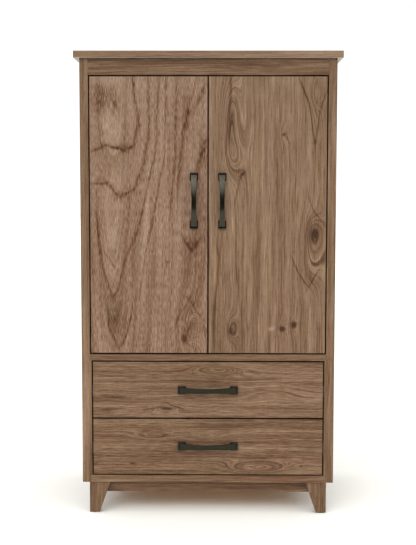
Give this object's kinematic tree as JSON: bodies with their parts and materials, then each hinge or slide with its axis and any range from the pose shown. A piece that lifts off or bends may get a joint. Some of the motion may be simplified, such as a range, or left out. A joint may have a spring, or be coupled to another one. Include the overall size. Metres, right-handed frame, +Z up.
{
  "type": "armoire",
  "caption": "Upright laminated armoire with a pair of hinged doors over full-width drawers, on a low base of tapered legs with recessed aprons.",
  "frame": {"origin": "on the floor at the middle of the whole bounding box, pulls included", "axes": "+Z up, -Y towards whoever stands in front of the doors, +X to their right"},
  "size_m": [0.888, 0.55, 1.554],
  "materials": {
    "laminate_upright": "satin walnut-look laminate, grain upright",
    "laminate_lengthwise": "satin walnut-look laminate, grain across the front",
    "back_board": "thin hardboard, smooth brown face",
    "drawer_board": "light laminated board",
    "dowel_beech": "fluted beech, dry",
    "slide_steel": "zinc plated sheet, satin",
    "rod_chrome": "chromed steel tube",
    "zinc_steel": "bright zinc plate",
    "dark_bronze": "cast zinc with a dark bronze lacquer, soft gloss",
    "black_nylon": "moulded nylon"
  },
  "bodies": {
    "carcass": {"top_board": "laminate_lengthwise", "side_panel_left": "laminate_upright", "side_panel_right": "laminate_upright", "top_rail": "laminate_lengthwise", "middle_divider": "laminate_lengthwise", "bottom_panel": "laminate_lengthwise", "bottom_rail": "laminate_lengthwise", "drawer_liner_left": "laminate_upright", "drawer_liner_right": "laminate_upright", "back_panel_upper": "back_board", "back_panel_lower": "back_board", "adjustable_shelf": "laminate_lengthwise", "shelf_pegs": "zinc_steel", "garment_rod": "rod_chrome", "rod_sockets": "rod_chrome", "leg_front_left": "laminate_upright", "leg_front_right": "laminate_upright", "leg_back_left": "laminate_upright", "leg_back_right": "laminate_upright", "apron_front": "laminate_lengthwise", "apron_left": "laminate_lengthwise", "apron_right": "laminate_lengthwise", "floor_glides": "black_nylon", "carcass_dowels": "dowel_beech", "leg_bolts": "zinc_steel", "magnetic_catch": "black_nylon", "door_pivot_plates": "zinc_steel", "hardware_screws": "zinc_steel", "slide_rail_upper_left": "slide_steel", "slide_rail_upper_right": "slide_steel", "slide_rail_lower_left": "slide_steel", "slide_rail_lower_right": "slide_steel"},
    "door_left": {"door_left": "laminate_upright", "door_pull_left": "dark_bronze", "door_pull_screws_left": "zinc_steel", "pivot_bushes_left": "black_nylon", "strike_plate_left": "zinc_steel"},
    "door_right": {"door_right": "laminate_upright", "door_pull_right": "dark_bronze", "door_pull_screws_right": "zinc_steel", "pivot_bushes_right": "black_nylon", "strike_plate_right": "zinc_steel"},
    "drawer_upper": {"drawer_front_upper": "laminate_lengthwise", "drawer_side_upper_left": "drawer_board", "drawer_side_upper_right": "drawer_board", "drawer_back_upper": "drawer_board", "drawer_bottom_upper": "back_board", "drawer_pull_upper": "dark_bronze", "drawer_pull_screws_upper": "zinc_steel", "slide_runner_upper_left": "slide_steel", "slide_runner_upper_right": "slide_steel"},
    "drawer_lower": {"drawer_front_lower": "laminate_lengthwise", "drawer_side_lower_left": "drawer_board", "drawer_side_lower_right": "drawer_board", "drawer_back_lower": "drawer_board", "drawer_bottom_lower": "back_board", "drawer_pull_lower": "dark_bronze", "drawer_pull_screws_lower": "zinc_steel", "slide_runner_lower_left": "slide_steel", "slide_runner_lower_right": "slide_steel"}
  },
  "joints": [
    {"name": "door_left_hinge", "type": "hinge", "parent": "carcass", "child": "door_left", "pos_m": [-0.383, -0.238, 1.0115], "axis": [0, 0, -1], "range_deg": [0, 110]},
    {"name": "door_right_hinge", "type": "hinge", "parent": "carcass", "child": "door_right", "pos_m": [0.383, -0.238, 1.0115], "axis": [0, 0, 1], "range_deg": [0, 110]},
    {"name": "drawer_upper_slide", "type": "slide", "parent": "carcass", "child": "drawer_upper", "axis": [0, -1, 0], "range_m": [0, 0.32]},
    {"name": "drawer_lower_slide", "type": "slide", "parent": "carcass", "child": "drawer_lower", "axis": [0, -1, 0], "range_m": [0, 0.32]}
  ]
}
